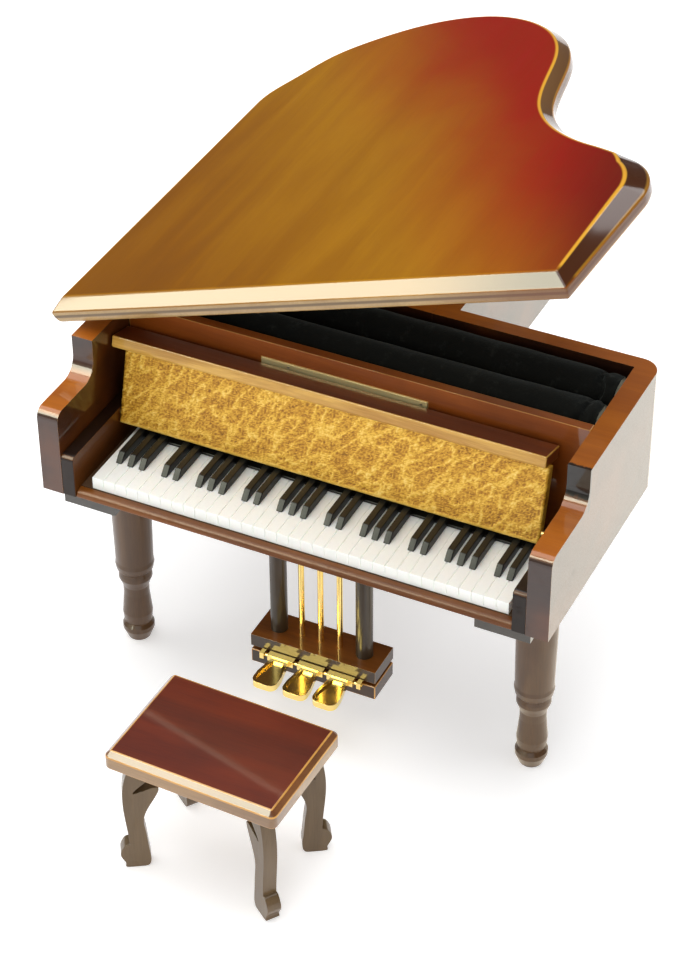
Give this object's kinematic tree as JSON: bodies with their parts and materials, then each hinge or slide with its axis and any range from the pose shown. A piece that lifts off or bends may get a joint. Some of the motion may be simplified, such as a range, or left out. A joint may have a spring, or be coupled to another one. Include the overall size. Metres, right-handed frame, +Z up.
{
  "type": "miniature grand piano",
  "caption": "Wooden miniature grand piano box with an open hinged lid, velvet ring rolls inside, fold-down fallboard, pedals and a separate stool.",
  "frame": {"origin": "middle of the footprint of the whole set, piano with its lid open as in the picture plus stool, on the floor", "axes": "+X to the treble side, +Y from the keyboard to the tail, +Z up"},
  "size_m": [0.1744, 0.2842, 0.1775],
  "materials": {
    "case_wood": "high-gloss lacquered mahogany",
    "plain_wood": "plain plywood",
    "trim_wood": "lacquered mahogany",
    "gilded": "crinkled gold foil on wood",
    "lid_wood": "high-gloss lacquered, sunburst from olive gold to red",
    "velvet": "black velvet",
    "white_plastic": "moulded",
    "black_plastic": "moulded",
    "brass": "polished",
    "hinge_brass": "satin",
    "dark_steel": "blackened",
    "screw_steel": "plain",
    "leg_wood": "lacquered walnut brown",
    "box_wood": "lacquered",
    "seat_wood": "high-gloss red-brown lacquer",
    "stool_wood": "lacquered brown"
  },
  "bodies": {
    "case": {"axle_eye_left": "brass", "axle_eye_right": "brass", "black_keys": "black_plastic", "bottom_board": "plain_wood", "brass_strip": "brass", "case_leaf_screws": "screw_steel", "compartment_wall": "case_wood", "divider": "case_wood", "hinge_case_leaf_front": "hinge_brass", "hinge_case_leaf_rear": "hinge_brass", "hinge_pin_front": "hinge_brass", "hinge_pin_rear": "hinge_brass", "key_block_left": "trim_wood", "key_block_right": "trim_wood", "key_slip": "trim_wood", "leg_dowel_left": "leg_wood", "leg_dowel_rear": "leg_wood", "leg_dowel_right": "leg_wood", "leg_left": "leg_wood", "leg_plate_left": "leg_wood", "leg_plate_rear": "leg_wood", "leg_plate_right": "leg_wood", "leg_plate_screws": "screw_steel", "leg_rear": "leg_wood", "leg_right": "leg_wood", "lyre_post_left": "leg_wood", "lyre_post_right": "leg_wood", "pedal_axle": "brass", "pedal_box_lower": "box_wood", "pedal_box_upper": "box_wood", "pedal_rod_left": "brass", "pedal_rod_middle": "brass", "pedal_rod_right": "brass", "rim": "case_wood", "ring_roll_front": "velvet", "ring_roll_rear": "velvet", "strip_pins": "dark_steel", "tail_lining": "velvet", "tray_board": "plain_wood", "tray_support_left": "plain_wood", "tray_support_right": "plain_wood", "white_keys": "white_plastic"},
    "lid": {"lid": "lid_wood", "hinge_lid_leaf_front": "hinge_brass", "hinge_lid_leaf_rear": "hinge_brass", "lid_leaf_screws": "screw_steel"},
    "fallboard": {"fallboard_panel": "gilded", "fallboard_rail": "trim_wood", "fallboard_pin_left": "brass", "fallboard_pin_right": "brass"},
    "pedal_left": {"pedal_left": "brass"},
    "pedal_middle": {"pedal_middle": "brass"},
    "pedal_right": {"pedal_right": "brass"},
    "stool": {"stool_seat": "seat_wood", "stool_leg_front_left": "stool_wood", "stool_leg_front_right": "stool_wood", "stool_leg_rear_left": "stool_wood", "stool_leg_rear_right": "stool_wood"}
  },
  "joints": [
    {"name": "lid_hinge", "type": "hinge", "parent": "case", "child": "lid", "pos_m": [-0.07932, 0.01901, 0.11735], "axis": [0, -1, 0], "range_deg": [-18.8, 71.2]},
    {"name": "fallboard_pivot", "type": "hinge", "parent": "case", "child": "fallboard", "pos_m": [0.00468, -0.04369, 0.0875], "axis": [1, 0, 0], "range_deg": [0, 92]},
    {"name": "pedal_left_pivot", "type": "hinge", "parent": "case", "child": "pedal_left", "pos_m": [-0.00532, -0.05879, 0.0213], "axis": [1, 0, 0], "range_deg": [-12, 12]},
    {"name": "pedal_middle_pivot", "type": "hinge", "parent": "case", "child": "pedal_middle", "pos_m": [0.00488, -0.05879, 0.0213], "axis": [1, 0, 0], "range_deg": [-12, 12]},
    {"name": "pedal_right_pivot", "type": "hinge", "parent": "case", "child": "pedal_right", "pos_m": [0.01508, -0.05879, 0.0213], "axis": [1, 0, 0], "range_deg": [-12, 12]},
    {"name": "stool_slide", "type": "slide", "parent": "case", "child": "stool", "axis": [0, -1, 0], "range_m": [-0.008, 0.06]}
  ]
}
